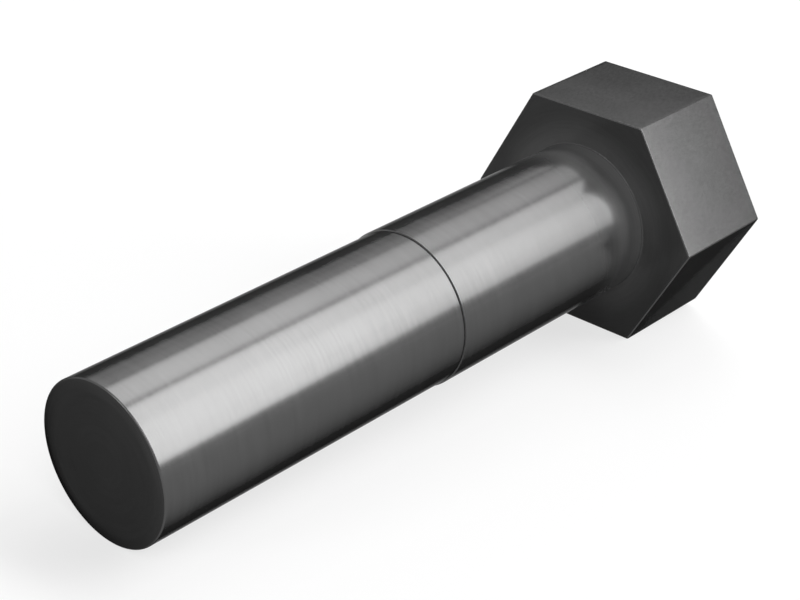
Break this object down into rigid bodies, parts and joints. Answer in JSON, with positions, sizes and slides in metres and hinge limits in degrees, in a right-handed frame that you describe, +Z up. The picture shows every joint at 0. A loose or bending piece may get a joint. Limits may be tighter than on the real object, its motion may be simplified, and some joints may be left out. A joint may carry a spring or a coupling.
{
  "type": "hex head bolt",
  "caption": "Hexagon head bolt in dark steel with a smooth round shank and a small shoulder down to a slightly thinner end section.",
  "frame": {"origin": "centre of the bearing face, where the shank's axis crosses it", "axes": "+X along the bolt from head to tip, which drops 3.708 degrees below level as the bolt lies at rest; +Z up; +Y completes the right-handed frame"},
  "size_m": [0.0968, 0.0346, 0.031],
  "materials": {
    "dark_steel": "dark, satin, finely turned"
  },
  "bodies": {
    "root": {"hex_bolt": "dark_steel"}
  },
  "joints": []
}
